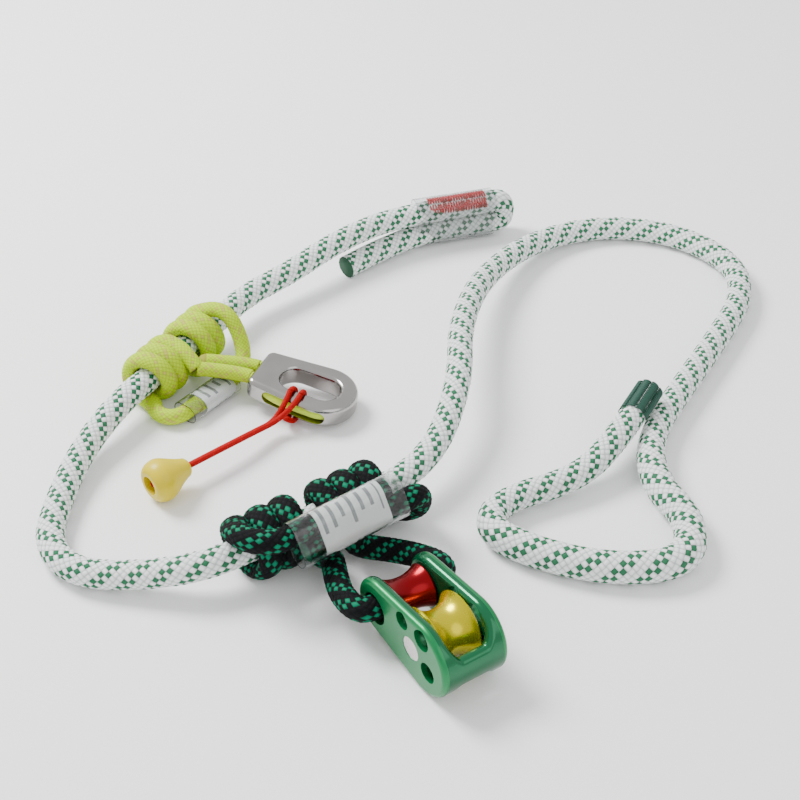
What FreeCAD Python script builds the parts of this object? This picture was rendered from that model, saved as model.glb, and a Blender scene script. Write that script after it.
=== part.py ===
# Adjustable anchor rope for tree work: a braided rope with a sewn eye and a
# stopper, a sliding hitch with a thimble ring, and a sling hitch with a pulley.
# Millimetres, +Z up.  The whole thing lies on a floor at Z = 0, and the origin
# is the middle of the floor area it covers.
import FreeCAD, Part
import math
import os

V = FreeCAD.Vector
Z = V(0, 0, 1)
os.makedirs("parts", exist_ok=True)

# ---------------------------------------------------------------- main rope
rope_d = 13.0              # braided rope
eye_d = 15.0               # the rope where its own end is buried inside it
stitch_thick = 0.7         # sewing thread standing on a rope
fold_gap = 0.2             # between the folded end and the rope above it
sleeve_wall = 0.5          # shrunk clear sleeve
sleeve_gap = 0.1

# ------------------------------------------------- sliding hitch and thimble
hitch_cord_d = 8.0
hitch_wrap_thick = 7.7     # cord pressed a little flat where it grips the rope
hitch_pitch = 9.7          # from one turn to the next along the rope
hitch_turns = 3            # turns in each half of the hitch
hitch_middle = 1.6         # bare rope between the two halves
grip_gap = 0.3             # between the rope and the turns round it
hitch_travel = 10.0        # how far the hitch is slid each way

ring_length = 53.0
ring_width = 34.5
ring_thick = 11.5
ring_hole_length = 31.0
ring_hole_width = 16.8
ring_window_length = 34.0
ring_window_height = 7.0   # slots in the outer wall that show the cord
ring_cord_d = 6.4          # hitch cord drawn thin inside the ring
ring_edge = 2.8            # rounding of the ring's outer edges
ring_hole_edge = 2.2
ring_mouth = 4.4           # from the middle to each leg's way in
ring_socket_gap = 0.2

red_cord_d = 2.8
red_knot_d = 8.0
cone_length = 21.0
cone_big_d = 20.6
cone_small_d = 9.0
cone_bore_gap = 0.4        # around the doubled red cord
cone_mouth_depth = 9.0
cone_mouth_gap = 0.6       # around the knot
cone_travel = 18.0         # free straight cord ahead of the cone

# ------------------------------------------------------------- sling, pulley
sling_cord_d = 11.0
sling_wrap_thick = 9.0     # cord pressed a little flat where it grips the rope
sling_pitch = 12.9
sling_turns = 3
sling_middle = 1.0         # bare rope between the two halves
sling_gap = 0.5            # looser than the small hitch, the rope bends close by
sling_travel = 4.0
label_thick = 0.3

cheek_outside = 31.2       # over both cheeks
channel_width = 19.2       # between the cheeks
ear_r = 13.0               # cheek end round the sling
ear_x = 0.4
nose_r = 17.0              # far end round the sheave
nose_x = 32.8
axle_x = 26.2              # from the sling hole to the axle
bridge_thick = 6.2         # solid metal that joins the cheeks at the nose
cheek_round = 2.2
channel_corner = 4.0       # upright rounding at the closed end of the channel
channel_round = 2.8
sling_hole_d = 14.6
light_hole_d = 8.0         # small round hole above the axle
recess_d = 9.6             # larger round hole above the axle
becket_d = 9.0             # round hole at the nose side of the axle

sheave_d = 29.4
sheave_tread_d = 20.6
sheave_width = 18.6
side_gap = 0.3             # between turning parts and the cheeks
bearing_od = 17.0
bearing_id = 8.0
bearing_width = 9.0
race_wall = 1.2
ball_d = 1.9
ball_count = 15
axle_head_d = 10.6
axle_head_thick = 1.6
spacer_d = 10.4
fit_gap = 0.05             # pressed or turned fits

bobbin_d = 19.4
bobbin_waist_d = 15.2
bobbin_bore_gap = 0.35     # around the sling cord

# ------------------------------------------------------------- small helpers


def save(name, shape):
    shape.exportStep("parts/" + name + ".step")
    print(name, "volume", round(shape.Volume), "solids", len(shape.Solids))


def unit(v):
    w = V(v)
    w.normalize()
    return w


def corner(a, b, c):
    """Tangent points, arc middle and radius where the route turns at b."""
    back, ahead = unit(a - b), unit(c - b)
    run = min((a - b).Length, (c - b).Length)
    half_turn = (math.pi - back.getAngle(ahead)) / 2
    cut = 0.45 * run
    radius = cut / math.tan(half_turn)
    inward = unit(back + ahead)
    centre = b + inward * math.hypot(radius, cut)
    return b + back * cut, b + ahead * cut, centre - inward * radius, radius


def path(points):
    """Straight runs joined by tangent arcs through a list of points."""
    edges, radii, at = [], [], points[0]
    for a, b, c in zip(points, points[1:], points[2:]):
        start, end, middle, radius = corner(a, b, c)
        edges.append(Part.LineSegment(at, start).toShape())
        edges.append(Part.Arc(start, middle, end).toShape())
        radii.append(radius)
        at = end
    edges.append(Part.LineSegment(at, points[-1]).toShape())
    return Part.Wire(edges), radii


def tube(name, points, diameter, report=True):
    """Round cord that follows a route."""
    wire, radii = path(points)
    circle = Part.Wire(Part.makeCircle(diameter / 2, points[0], points[1] - points[0]))
    solid = Part.Solid(wire.makePipeShell([circle], True, False))
    if solid.Volume < 0:
        solid.reverse()
    if report:
        section = math.pi * diameter ** 2 / 4
        print(name, "length", round(wire.Length, 1), "radii",
              [round(r) for r in radii],
              "volume / section x length", round(solid.Volume / section / wire.Length, 3))
    return solid


def frame(origin, x_axis, up=Z):
    """Placement whose local x runs along x_axis, with local z as near up as can be."""
    x = unit(x_axis)
    y = unit(up.cross(x))
    z = x.cross(y)
    m = FreeCAD.Matrix(x.x, y.x, z.x, origin.x, x.y, y.y, z.y, origin.y,
                       x.z, y.z, z.z, origin.z, 0, 0, 0, 1)
    return FreeCAD.Placement(m)


def placed(shape, place):
    out = shape.copy()
    out.Placement = place.multiply(out.Placement)
    return out


def ring_solid(outer, inner, x0, x1):
    """Hollow cylinder round the local x axis."""
    X = V(1, 0, 0)
    return Part.makeCylinder(outer, x1 - x0, V(x0, 0, 0), X).cut(
        Part.makeCylinder(inner, x1 - x0 + 2, V(x0 - 1, 0, 0), X))


def stadium(r, spread, x0, x1):
    """Rod along local x: two circles of radius r, spread apart in local y, hulled."""
    if spread <= 0:
        return Part.makeCylinder(r, x1 - x0, V(x0, 0, 0), V(1, 0, 0))
    h = spread / 2
    edges = [Part.LineSegment(V(x0, -h, -r), V(x0, h, -r)).toShape(),
             Part.Arc(V(x0, h, -r), V(x0, h + r, 0), V(x0, h, r)).toShape(),
             Part.LineSegment(V(x0, h, r), V(x0, -h, r)).toShape(),
             Part.Arc(V(x0, -h, r), V(x0, -h - r, 0), V(x0, -h, -r)).toShape()]
    return Part.Face(Part.Wire(edges)).extrude(V(x1 - x0, 0, 0))


def sleeve(r, spread, x0, x1):
    """Clear tube round a stadium section of radius r."""
    outer = stadium(r + sleeve_gap + sleeve_wall, spread, x0, x1)
    return outer.cut(stadium(r + sleeve_gap, spread, x0 - 1, x1 + 1))


def saddle(r, thick, x0, x1, middle_deg, half_deg):
    """Thin patch on a rod along local x, centred on the direction middle_deg."""
    full = ring_solid(r + thick, r, x0, x1)
    reach = 4 * (r + thick)
    a0, a1 = math.radians(middle_deg - half_deg), math.radians(middle_deg + half_deg)
    am = math.radians(middle_deg)
    wedge = Part.Face(Part.makePolygon([
        V(x0 - 1, 0, 0), V(x0 - 1, reach * math.cos(a0), reach * math.sin(a0)),
        V(x0 - 1, reach * math.cos(am), reach * math.sin(am)),
        V(x0 - 1, reach * math.cos(a1), reach * math.sin(a1)), V(x0 - 1, 0, 0)]))
    return full.common(wedge.extrude(V(x1 - x0 + 2, 0, 0)))


# ----------------------------------------------------------------- main rope
rope_r = rope_d / 2
eye_r = eye_d / 2
hitch_outer = rope_r + grip_gap + hitch_wrap_thick
sling_outer = rope_r + sling_gap + sling_wrap_thick
hitch_z = hitch_outer + 0.2
sling_z = sling_outer + 0.2
skin = stitch_thick + sleeve_gap + sleeve_wall
stack_z = 3 * rope_r + fold_gap + skin    # rope lying on its own folded tail

stopper_start = V(37.5, 178.2, stack_z)
stopper_end = V(-16, 162, stack_z)
hitch_run = [V(-97, 91, hitch_z), V(-152, -4.3, hitch_z)]
sling_run = [V(-97.5, -116.6, sling_z), V(-3.2, -52.6, sling_z)]

stopper_route = [
    stopper_start, stopper_end, V(-50, 136, stack_z - 0.5), V(-76, 110, hitch_z + 1),
    hitch_run[0]]
left_route = [
    hitch_run[1], V(-165, -31, 9), V(-170.5, -62, rope_r), V(-171, -92, rope_r),
    V(-156, -110.5, rope_r), V(-128, -115, 9), sling_run[0]]
arch_route = [
    sling_run[1], V(13, -3, 26.5), V(14, 48, 26), V(29, 107, 16.5)]
loop_route = [
    V(60, 155, 8), V(100, 174, rope_r), V(142, 166, rope_r), V(170, 136, rope_r),
    V(170.5, 102, rope_r), V(150, 63, rope_r)]
right_leg_route = [V(126, 22, rope_r), V(103, -19, eye_r)]
eye_route = [
    V(100, -52, eye_r), V(114, -80, eye_r), V(107.5, -106, eye_r), V(72, -109.5, eye_r),
    V(38, -97, eye_r), V(22, -83, eye_r)]
return_route = [V(30, -65, eye_r), V(66, -51, 8), V(99 - rope_d, -30, rope_d + 2),
                V(118 - rope_d, 3.5, rope_d + 4)]

# The rope is one length; it is cut into lying stretches at the middles of runs.
whole = (stopper_route + left_route + arch_route + loop_route + right_leg_route
         + eye_route + return_route)
rope_wire, rope_radii = path(whole)
print("main rope length", round(rope_wire.Length), "radii", [round(r) for r in rope_radii])


def stretch(name, first, last, diameter):
    """Tube of the stretch of the rope between the middles of two runs."""
    run = [V(p) for p in whole[first:last + 1]]
    if first > 0:
        run.insert(0, (whole[first - 1] + whole[first]) * 0.5)
    if last < len(whole) - 1:
        run.append((whole[last] + whole[last + 1]) * 0.5)
    edges, at = [], run[0]
    for i in range(first, last + 1):
        if i in (0, len(whole) - 1):
            continue
        start, end, middle, radius = corner(whole[i - 1], whole[i], whole[i + 1])
        edges += [Part.LineSegment(at, start).toShape(),
                  Part.Arc(start, middle, end).toShape()]
        at = end
    edges.append(Part.LineSegment(at, run[-1]).toShape())
    wire = Part.Wire(edges)
    circle = Part.Wire(Part.makeCircle(diameter / 2, run[0], run[1] - run[0]))
    solid = Part.Solid(wire.makePipeShell([circle], True, False))
    if solid.Volume < 0:
        solid.reverse()
    print(name, "volume / section x length",
          round(solid.Volume / (math.pi * diameter ** 2 / 4) / wire.Length, 3))
    save(name, solid)


counts = [len(r) for r in (stopper_route, left_route, arch_route, loop_route,
                           right_leg_route, eye_route, return_route)]
ends = [sum(counts[:i + 1]) - 1 for i in range(len(counts))]
names = ["rope_stopper_run", "rope_left_run", "rope_arch", "rope_loop",
         "rope_right_leg", "rope_eye", "rope_return_leg"]
first = 0
for name, last in zip(names, ends):
    stretch(name, first, last, eye_d if name == "rope_eye" else rope_d)
    first = last + 1

# Folded tail: half a turn down under the rope, then back beneath it.
fold_r = rope_r + fold_gap / 2
along = unit(stopper_end - stopper_start)
fold_top, fold_low = stopper_start, stopper_start - Z * (2 * fold_r)
fold_edges = [Part.Arc(fold_top, fold_top - Z * fold_r - along * fold_r, fold_low).toShape()]
tail_points = [fold_low, fold_low + along * 50, V(-46, 130, rope_r)]
tail_wire, tail_radii = path(tail_points)
tail_wire = Part.Wire(fold_edges + tail_wire.Edges)
tail_circle = Part.Wire(Part.makeCircle(rope_r, fold_top, along))
tail = Part.Solid(tail_wire.makePipeShell([tail_circle], True, False))
if tail.Volume < 0:
    tail.reverse()
print("rope_tail radii", round(fold_r, 1), [round(r) for r in tail_radii])
save("rope_tail", tail)

# Clear sleeve shrunk over the fold, red sewing on the rope inside it.
stopper_length = 46.0
stopper_place = frame(stopper_start - Z * fold_r, along)
upright = FreeCAD.Placement(V(0, 0, 0), FreeCAD.Rotation(V(1, 0, 0), 90))
stopper_sleeve = placed(sleeve(rope_r + stitch_thick, 2 * fold_r, 1, 1 + stopper_length), upright)
save("stopper_sleeve", placed(stopper_sleeve, stopper_place))
save("stopper_stitching", placed(saddle(rope_r, stitch_thick, 6, 40, 60, 55),
                                 frame(stopper_start, along)))

# Dark sewing that closes the eye, over the returning leg.
stitch_from, stitch_to = return_route[-2], return_route[-1]
stitch_run = (stitch_to - stitch_from).Length
save("eye_stitching", placed(
    saddle(rope_r, stitch_thick, 0.46 * stitch_run, stitch_run, 80, 100),
    frame(stitch_from, stitch_to - stitch_from)))


# ---------------------------------------------------- sliding hitch (adjuster)
# Local x runs down the rope from the gap between the halves, y towards the ring.
hitch_dir = unit(hitch_run[1] - hitch_run[0])
hitch_place = frame(hitch_run[0] + hitch_dir * 62.4, hitch_dir)
hitch_inner = rope_r + grip_gap
half = hitch_middle / 2
hitch_span = hitch_turns * hitch_pitch
hitch_cord_r = hitch_cord_d / 2


def turns(inner, outer, x0, x1, rounding):
    body = ring_solid(outer, inner, x0, x1)
    rims = [e for e in body.Edges if abs(e.BoundBox.YLength / 2 - outer) < 0.01]
    return body.makeFillet(rounding, rims)


save("adjuster_turns_upper", placed(
    turns(hitch_inner, hitch_outer, -half - hitch_span, -half, 4), hitch_place))
save("adjuster_turns_lower", placed(
    turns(hitch_inner, hitch_outer, half, half + hitch_span, 4), hitch_place))


def at_hitch(x, y, z):
    """Point given from the hitch gap, its height from the floor."""
    return hitch_place.multVec(V(x, y, z - hitch_z))


# The cord leaves the upper turns, drops beside the legs into its sewn and
# sleeved part under them, and comes back up into the lower turns.
sleeve_r = hitch_cord_r + label_thick
side = hitch_outer
sleeve_from, sleeve_to = at_hitch(-5, side + 14, 5.3), at_hitch(26.5, side + 9.8, 5.3)
save("adjuster_bridge_upper", tube("adjuster_bridge_upper", [
    at_hitch(-26, 11, hitch_z + side + 1), at_hitch(-25, side + 5, hitch_z + 6.3),
    at_hitch(-21, side + 11.5, 11), at_hitch(-13, side + 14.2, 6), sleeve_from], hitch_cord_d))
save("adjuster_splice", tube("adjuster_splice", [sleeve_from, sleeve_to], hitch_cord_d))
save("adjuster_bridge_lower", tube("adjuster_bridge_lower", [
    sleeve_to, at_hitch(34, side + 7.5, 4.9), at_hitch(37, side - 0.5, 4.6), at_hitch(34.5, 7.6, 4.4)],
    hitch_cord_d))
splice_run = (sleeve_to - sleeve_from).Length
splice_place = frame(sleeve_from, sleeve_to - sleeve_from)
adjuster_spread = 4.6
shell = stadium(sleeve_r, adjuster_spread, 3, splice_run - 8).cut(
    stadium(hitch_cord_r, adjuster_spread, 2, splice_run))
save("adjuster_label", placed(shell, splice_place))
save("adjuster_sleeve", placed(sleeve(sleeve_r, adjuster_spread, 0.5, splice_run + 1), splice_place))

# ------------------------------------------------------------- thimble ring
ring_r = ring_width / 2
ring_cx = ring_length / 2 - ring_r
corner_r = 4.0
ring_place = frame(V(-62.5, 13.0, 10.1), V(46, -18.6, -6.2))
groove_r = (ring_r + ring_hole_width / 2) / 2 - 0.2


def hull(circles, height):
    """Solid over the convex outline round circles (x, y, r), listed anticlockwise."""
    tangents = []
    for (x0, y0, r0), (x1, y1, r1) in zip(circles, circles[1:] + circles[:1]):
        dist = math.hypot(x1 - x0, y1 - y0)
        lean = math.atan2(y1 - y0, x1 - x0) - math.acos((r0 - r1) / dist)
        n = V(math.cos(lean), math.sin(lean), 0)
        tangents.append((V(x0, y0, 0) + n * r0, V(x1, y1, 0) + n * r1, lean))
    edges = []
    for i, (start, end, lean) in enumerate(tangents):
        edges.append(Part.LineSegment(start, end).toShape())
        x, y, r = circles[(i + 1) % len(circles)]
        nxt = tangents[(i + 1) % len(tangents)]
        sweep = (nxt[2] - lean) % (2 * math.pi)
        mid = lean + sweep / 2
        edges.append(Part.Arc(end, V(x + r * math.cos(mid), y + r * math.sin(mid), 0),
                              nxt[0]).toShape())
    solid = Part.Face(Part.Wire(edges)).extrude(V(0, 0, height))
    solid.translate(V(0, 0, -height / 2))
    return solid


def rim_edges(solid, z):
    return [e for e in solid.Edges if e.BoundBox.ZLength < 1e-6
            and abs(abs(e.BoundBox.ZMin) - z) < 1e-6]


end_x, end_y = corner_r - ring_length / 2, 10.0
ring = hull([(ring_cx, 0, ring_r), (end_x, end_y, corner_r), (end_x, -end_y, corner_r)],
            ring_thick)
ring = ring.makeFillet(ring_edge, rim_edges(ring, ring_thick / 2))
hole_r = ring_hole_width / 2
hole_shift = ring_hole_length / 2 - hole_r
hole = hull([(ring_cx, 0, hole_r), (ring_cx - 2 * hole_shift, 0, hole_r)], ring_thick + 2)
ring = ring.cut(hole)
bore_rim = [e for e in rim_edges(ring, ring_thick / 2)
            if abs(e.BoundBox.Center.x) < ring_length / 2 - ring_edge - 2
            and e.BoundBox.YLength < ring_hole_width + 0.1
            and abs(e.BoundBox.Center.y) < hole_r + 0.1]
ring = ring.makeFillet(ring_hole_edge, bore_rim)
# Tunnel for the cord: in at the flat end, out beside the hole, round the bow and back.
mouth = V(-ring_length / 2 - 1, -ring_mouth, 0)
bend = V(ring_cx - 2 * hole_shift - hole_r * 0.85, -groove_r, 0)
bow_start = V(ring_cx, -groove_r, 0)


def flip(v):
    return V(v.x, -v.y, v.z)


def loop_tube(d):
    start, end, middle, radius = corner(mouth, bend, bow_start)
    half_way = [Part.LineSegment(mouth, start).toShape(),
                Part.Arc(start, middle, end).toShape(),
                Part.LineSegment(end, bow_start).toShape()]
    bow = Part.Arc(bow_start, V(ring_cx + groove_r, 0, 0), flip(bow_start)).toShape()
    way_back = [Part.LineSegment(flip(bow_start), flip(end)).toShape(),
                Part.Arc(flip(end), flip(middle), flip(start)).toShape(),
                Part.LineSegment(flip(start), flip(mouth)).toShape()]
    wire = Part.Wire(half_way + [bow] + way_back)
    round_wire = Part.Wire(Part.makeCircle(d / 2, mouth, bend - mouth))
    solid = Part.Solid(wire.makePipeShell([round_wire], True, False))
    if solid.Volume < 0:
        solid.reverse()
    return solid


ring = ring.cut(loop_tube(ring_cord_d + 2 * ring_socket_gap))
window = Part.makeBox(ring_window_length, ring_width, ring_window_height, V(
    -ring_window_length / 2, -groove_r + 1 - ring_width, -ring_window_height / 2))
window = window.makeFillet(ring_window_height / 2 - 0.05, [
    e for e in window.Edges if e.BoundBox.YLength > ring_width - 0.1])
ring = ring.cut(window).cut(window.mirror(V(0, 0, 0), V(0, 1, 0)))
save("thimble_ring", placed(ring, ring_place))
save("thimble_cord", placed(loop_tube(ring_cord_d), ring_place))


def at_ring(x, y, z):
    return ring_place.multVec(V(x, y, z))


# The two legs of the hitch cord, from their rounded roots to the ring.
leg_d = 7.2                # each leg, pressed flat against the other
leg_y = hitch_outer + leg_d / 2 + 0.5
leg_z = hitch_z + 3
for name, root_x, side in (("adjuster_leg_front", 8.2, 1), ("adjuster_leg_back", 0.8, -1)):
    root = at_hitch(root_x, leg_y, leg_z)
    entry = at_ring(mouth.x, side * mouth.y, 0)
    before = at_ring(mouth.x - 7, side * (mouth.y + 0.4), 0)
    leg = tube(name, [root, before, entry], leg_d)
    save(name, leg.fuse(Part.makeSphere(leg_d / 2, root)))

# ------------------------------------------------- red cord and yellow cone
# Doubled cord, hitched round the front bar of the ring, with a cone on its end.
red_r = red_cord_d / 2
cone_dir = unit(V(0.754, 0.656, 0))
cone_small = V(-114, -45, cone_big_d / 2 + 0.2)
cone_side = Z.cross(cone_dir)
bar_out = -ring_r * 0.93 - red_r - 0.4      # outside the front bar
bar_in = -hole_r + red_r + 0.7              # in the hole
bar_top = ring_thick / 2 + red_r + 0.3
hold = at_ring(-4.5, bar_out - 7, -3.5)
knot_at = cone_small - cone_dir * (cone_length - cone_mouth_depth / 2)
straight_end = cone_small + cone_dir * (cone_travel + 6)
for name, side, x in (("retrieval_cord_left", 1, -3.0), ("retrieval_cord_right", -1, 2.5)):
    shift = (cone_side * 0.8 - Z * 0.6) * (side * (red_r + 0.05))
    save(name, tube(name, [
        knot_at + cone_dir * (red_knot_d / 2) + shift, straight_end + shift,
        straight_end + V(12, 13, -2) + shift, hold + shift,
        at_ring(x + 0.5 * side, bar_out, bar_top - 2.5), at_ring(x, bar_out + 5, bar_top + 0.2)],
        red_cord_d))
save("retrieval_loop", tube("retrieval_loop", [
    at_ring(-3.0, bar_out + 5, bar_top + 0.2), at_ring(-2.7, bar_in - 0.2, bar_top),
    at_ring(-2.4, bar_in, -bar_top), at_ring(-2, bar_out + 2, -bar_top),
    at_ring(-2, bar_out - 1.5, -bar_top + 3), at_ring(1.5, bar_out - 1.5, -bar_top + 3),
    at_ring(1.5, bar_out + 2, -bar_top), at_ring(1.9, bar_in, -bar_top),
    at_ring(2.2, bar_in - 0.2, bar_top), at_ring(2.5, bar_out + 5, bar_top + 0.2)],
    red_cord_d))
save("retrieval_knot", placed(Part.makeSphere(red_knot_d / 2), FreeCAD.Placement(
    knot_at, FreeCAD.Rotation())))

# Cone: small end towards the ring, knot in the wide mouth.
big_r, small_r = cone_big_d / 2, cone_small_d / 2
bore_r = red_cord_d + 0.05 + cone_bore_gap
mouth_r = red_knot_d / 2 + cone_mouth_gap
profile = [V(0, bore_r, 0), V(0, small_r - 1, 0), V(1, small_r, 0)]
edges = [Part.makePolygon(profile).Edges[0], Part.makePolygon(profile).Edges[1]]
waist, belly = V(1, small_r, 0), V(cone_length * 0.68, big_r, 0)
tip = V(cone_length, mouth_r + 1.6, 0)
belly_in = V(cone_length * 0.55, big_r, 0)
spline = Part.BezierCurve()
spline.setPoles([waist, V(cone_length * 0.3, small_r + 1.5, 0), belly_in, belly])
shoulder = Part.BezierCurve()
shoulder.setPoles([belly, V(cone_length * 0.9, big_r, 0), tip + V(0, 1.6, 0), tip])
floor_x = cone_length - cone_mouth_depth
inside = Part.makePolygon([tip, V(cone_length, mouth_r, 0), V(floor_x, mouth_r, 0),
                           V(floor_x, bore_r, 0), profile[0]])
outline = Part.Wire(edges + [spline.toShape(), shoulder.toShape()] + inside.Edges)
cone = Part.Face(outline).revolve(V(0, 0, 0), V(1, 0, 0), 360)
save("retrieval_cone", placed(Part.Solid(cone) if cone.ShapeType != "Solid" else cone,
                              frame(cone_small, cone_dir * -1)))

# -------------------------------------------------------------- sling hitch
# Local x runs up the rope from the gap between the halves, y towards the pulley.
sling_dir = unit(sling_run[0] - sling_run[1])
sling_place = frame(sling_run[1] + sling_dir * 62.3, sling_dir)
sling_half = sling_middle / 2
sling_inner = rope_r + sling_gap
sling_span = sling_turns * sling_pitch
sling_r = sling_cord_d / 2
save("sling_turns_left", placed(
    turns(sling_inner, sling_outer, sling_half, sling_half + sling_span, 5), sling_place))
save("sling_turns_right", placed(
    turns(sling_inner, sling_outer, -sling_half - sling_span, -sling_half, 5), sling_place))


def at_sling(x, y, z):
    """Point given from the middle of the hitch, its height from the floor."""
    return sling_place.multVec(V(x, y, z - sling_z))


# Over the legs the cord's two ends are sewn together in a clear sleeve.
splice_y = sling_outer + sling_r
left_end, right_end = at_sling(22, splice_y, 28.5), at_sling(-31, splice_y - 0.5, 31)
save("sling_bridge_left", tube("sling_bridge_left", [
    at_sling(37, splice_y - 7, 34), at_sling(30, splice_y - 1.5, 30.5), left_end], sling_cord_d))
save("sling_splice", tube("sling_splice", [left_end, right_end], sling_cord_d))
save("sling_bridge_right", tube("sling_bridge_right", [
    right_end, at_sling(-41, splice_y - 0.5, 27.5), at_sling(-46, splice_y - 6.5, 14),
    at_sling(-45, 7.6, 5.8)], sling_cord_d))
sling_splice_run = (right_end - left_end).Length
out_from_rope = at_sling(0, splice_y, 29.5) - at_sling(0, 0, sling_z)
sling_splice_place = frame(left_end, right_end - left_end, unit(out_from_rope))
sling_spread = 8.4
label = stadium(sling_r + label_thick, sling_spread, 12, sling_splice_run - 8).cut(
    stadium(sling_r, sling_spread, 11, sling_splice_run))
save("sling_label", placed(label, sling_splice_place))
save("sling_sleeve", placed(
    sleeve(sling_r + label_thick, sling_spread, 1, sling_splice_run + 1), sling_splice_place))

# ------------------------------------------------------------------- pulley
# Local x runs from the sling hole to the far end, y to the right cheek.
pulley_z = nose_r + 0.2
pulley_place = frame(V(-13.4, -133.1, pulley_z), V(0.553, -0.833, 0))
flat = FreeCAD.Placement(V(0, 0, 0), FreeCAD.Rotation(V(1, 0, 0), 90))
Y = V(0, 1, 0)


def at_pulley(x, y, z=0):
    return pulley_place.multVec(V(x, y, z))


leg_out = cheek_outside / 2 + sling_r + 1
sling_legs = tube("sling_legs", [
    at_sling(1.5, sling_outer + 3.5, sling_z - 5.7), at_pulley(-31, 6.6 - leg_out, -5),
    at_pulley(-17, 0.6 - leg_out, -2),
    at_pulley(0, -leg_out), at_pulley(0, leg_out), at_pulley(-17, leg_out - 1.1, -4),
    at_pulley(-31, leg_out - 9.1, -7), at_sling(-12, sling_outer + 3.5, sling_z - 6.7)], sling_cord_d)
save("sling_legs", sling_legs)

body = placed(hull([(ear_x, 0, ear_r), (nose_x, 0, nose_r)], cheek_outside), flat)
outer_rims = [e for e in body.Edges if e.BoundBox.YLength < 1e-6]
body = body.makeFillet(cheek_round, outer_rims)
channel_end = nose_x + nose_r - bridge_thick
half_channel = channel_width / 2
channel = Part.makeBox(channel_end + 40, channel_width, 4 * nose_r,
                       V(-40, -half_channel, -2 * nose_r))
channel = channel.makeFillet(channel_corner, [
    e for e in channel.Edges if e.BoundBox.ZLength > 3 * nose_r and e.BoundBox.XMin > 0])
body = body.cut(channel)
inner_rims = [e for e in body.Edges if e.BoundBox.ZLength < 3 * nose_r
              and e.BoundBox.Center.x > -ear_r
              and abs(e.BoundBox.Center.z) > ear_r * 0.6
              and e.BoundBox.YMin > -half_channel - 1e-3
              and e.BoundBox.YMax < half_channel + 1e-3]
body = body.makeFillet(channel_round, inner_rims)


def cheek_hole(x, z, d, y0=-cheek_outside, y1=cheek_outside):
    return Part.makeCylinder(d / 2, y1 - y0, V(x, y0, z), Y)


hub = cheek_outside / 2
body = body.cut(cheek_hole(0, 0, sling_hole_d))
for x, z, d in ((-6.3, 10.3, light_hole_d), (7.2, 11.0, recess_d), (11.8, -3.2, becket_d)):
    body = body.cut(cheek_hole(axle_x + x, z, d))
body = body.cut(cheek_hole(axle_x, 0, bearing_id + 2 * fit_gap))
head_d = axle_head_d + 2 * fit_gap
body = body.cut(cheek_hole(axle_x, 0, head_d, -hub - 1, -hub + axle_head_thick))
body = body.cut(cheek_hole(axle_x, 0, head_d, hub - axle_head_thick, hub + 1))
save("pulley_body", placed(body, pulley_place))


def turned(name, points, x):
    """Part turned about the local y axis at x, from (radius, y) corners."""
    wire = Part.makePolygon([V(x + r, y, 0) for r, y in points + points[:1]])
    solid = Part.Face(wire).revolve(V(x, 0, 0), Y, 360)
    save(name, placed(solid, pulley_place))


bore_id = bearing_id / 2
race_w = bearing_width / 2
outer_r = bearing_od / 2
head_r = axle_head_d / 2
turned("axle_pin", [(0, -hub + 0.2), (head_r, -hub + 0.2), (head_r, -hub + axle_head_thick - 0.05),
                    (bore_id, -hub + axle_head_thick - 0.05), (bore_id, hub - axle_head_thick),
                    (0, hub - axle_head_thick)], axle_x)
turned("axle_cap", [(0, hub - axle_head_thick + 0.05), (head_r, hub - axle_head_thick + 0.05),
                    (head_r, hub - 0.2), (0, hub - 0.2)], axle_x)
inner_bore = bore_id + fit_gap
turned("bearing_inner_race", [(inner_bore, -race_w), (inner_bore + race_wall, -race_w),
                              (inner_bore + race_wall, race_w), (inner_bore, race_w)], axle_x)
turned("bearing_outer_race", [(outer_r - race_wall, -race_w), (outer_r, -race_w),
                              (outer_r, race_w), (outer_r - race_wall, race_w)], axle_x)
for name, side in (("axle_spacer_left", -1), ("axle_spacer_right", 1)):
    near, far = race_w + fit_gap, half_channel - fit_gap
    turned(name, [(inner_bore, side * near), (spacer_d / 2, side * near),
                  (spacer_d / 2, side * far), (inner_bore, side * far)], axle_x)
ball_ring = (inner_bore + race_wall + outer_r - race_wall) / 2
ball_room = (outer_r - race_wall) - (inner_bore + race_wall)
ball_r = min(ball_d, ball_room - 2 * fit_gap) / 2
balls = [Part.makeSphere(ball_r, V(
    axle_x + ball_ring * math.cos(2 * math.pi * i / ball_count), row * race_w / 2,
    ball_ring * math.sin(2 * math.pi * i / ball_count)))
    for row in (-1, 1) for i in range(ball_count)]
save("bearing_balls", placed(Part.makeCompound(balls), pulley_place))


def waisted(rim, waist, width, bore, x):
    """Grooved roller: rims of radius rim, round groove down to radius waist."""
    h = width / 2
    lip = 1.0
    edges = [Part.LineSegment(V(x + bore, -h, 0), V(x + rim - 0.6, -h, 0)).toShape(),
             Part.LineSegment(V(x + rim - 0.6, -h, 0), V(x + rim, -h + 0.6, 0)).toShape(),
             Part.LineSegment(V(x + rim, -h + 0.6, 0), V(x + rim, -h + lip, 0)).toShape(),
             Part.Arc(V(x + rim, -h + lip, 0), V(x + waist, 0, 0), V(x + rim, h - lip, 0)).toShape(),
             Part.LineSegment(V(x + rim, h - lip, 0), V(x + rim, h - 0.6, 0)).toShape(),
             Part.LineSegment(V(x + rim, h - 0.6, 0), V(x + rim - 0.6, h, 0)).toShape(),
             Part.LineSegment(V(x + rim - 0.6, h, 0), V(x + bore, h, 0)).toShape(),
             Part.LineSegment(V(x + bore, h, 0), V(x + bore, -h, 0)).toShape()]
    return Part.Face(Part.Wire(edges)).revolve(V(x, 0, 0), Y, 360)


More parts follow.
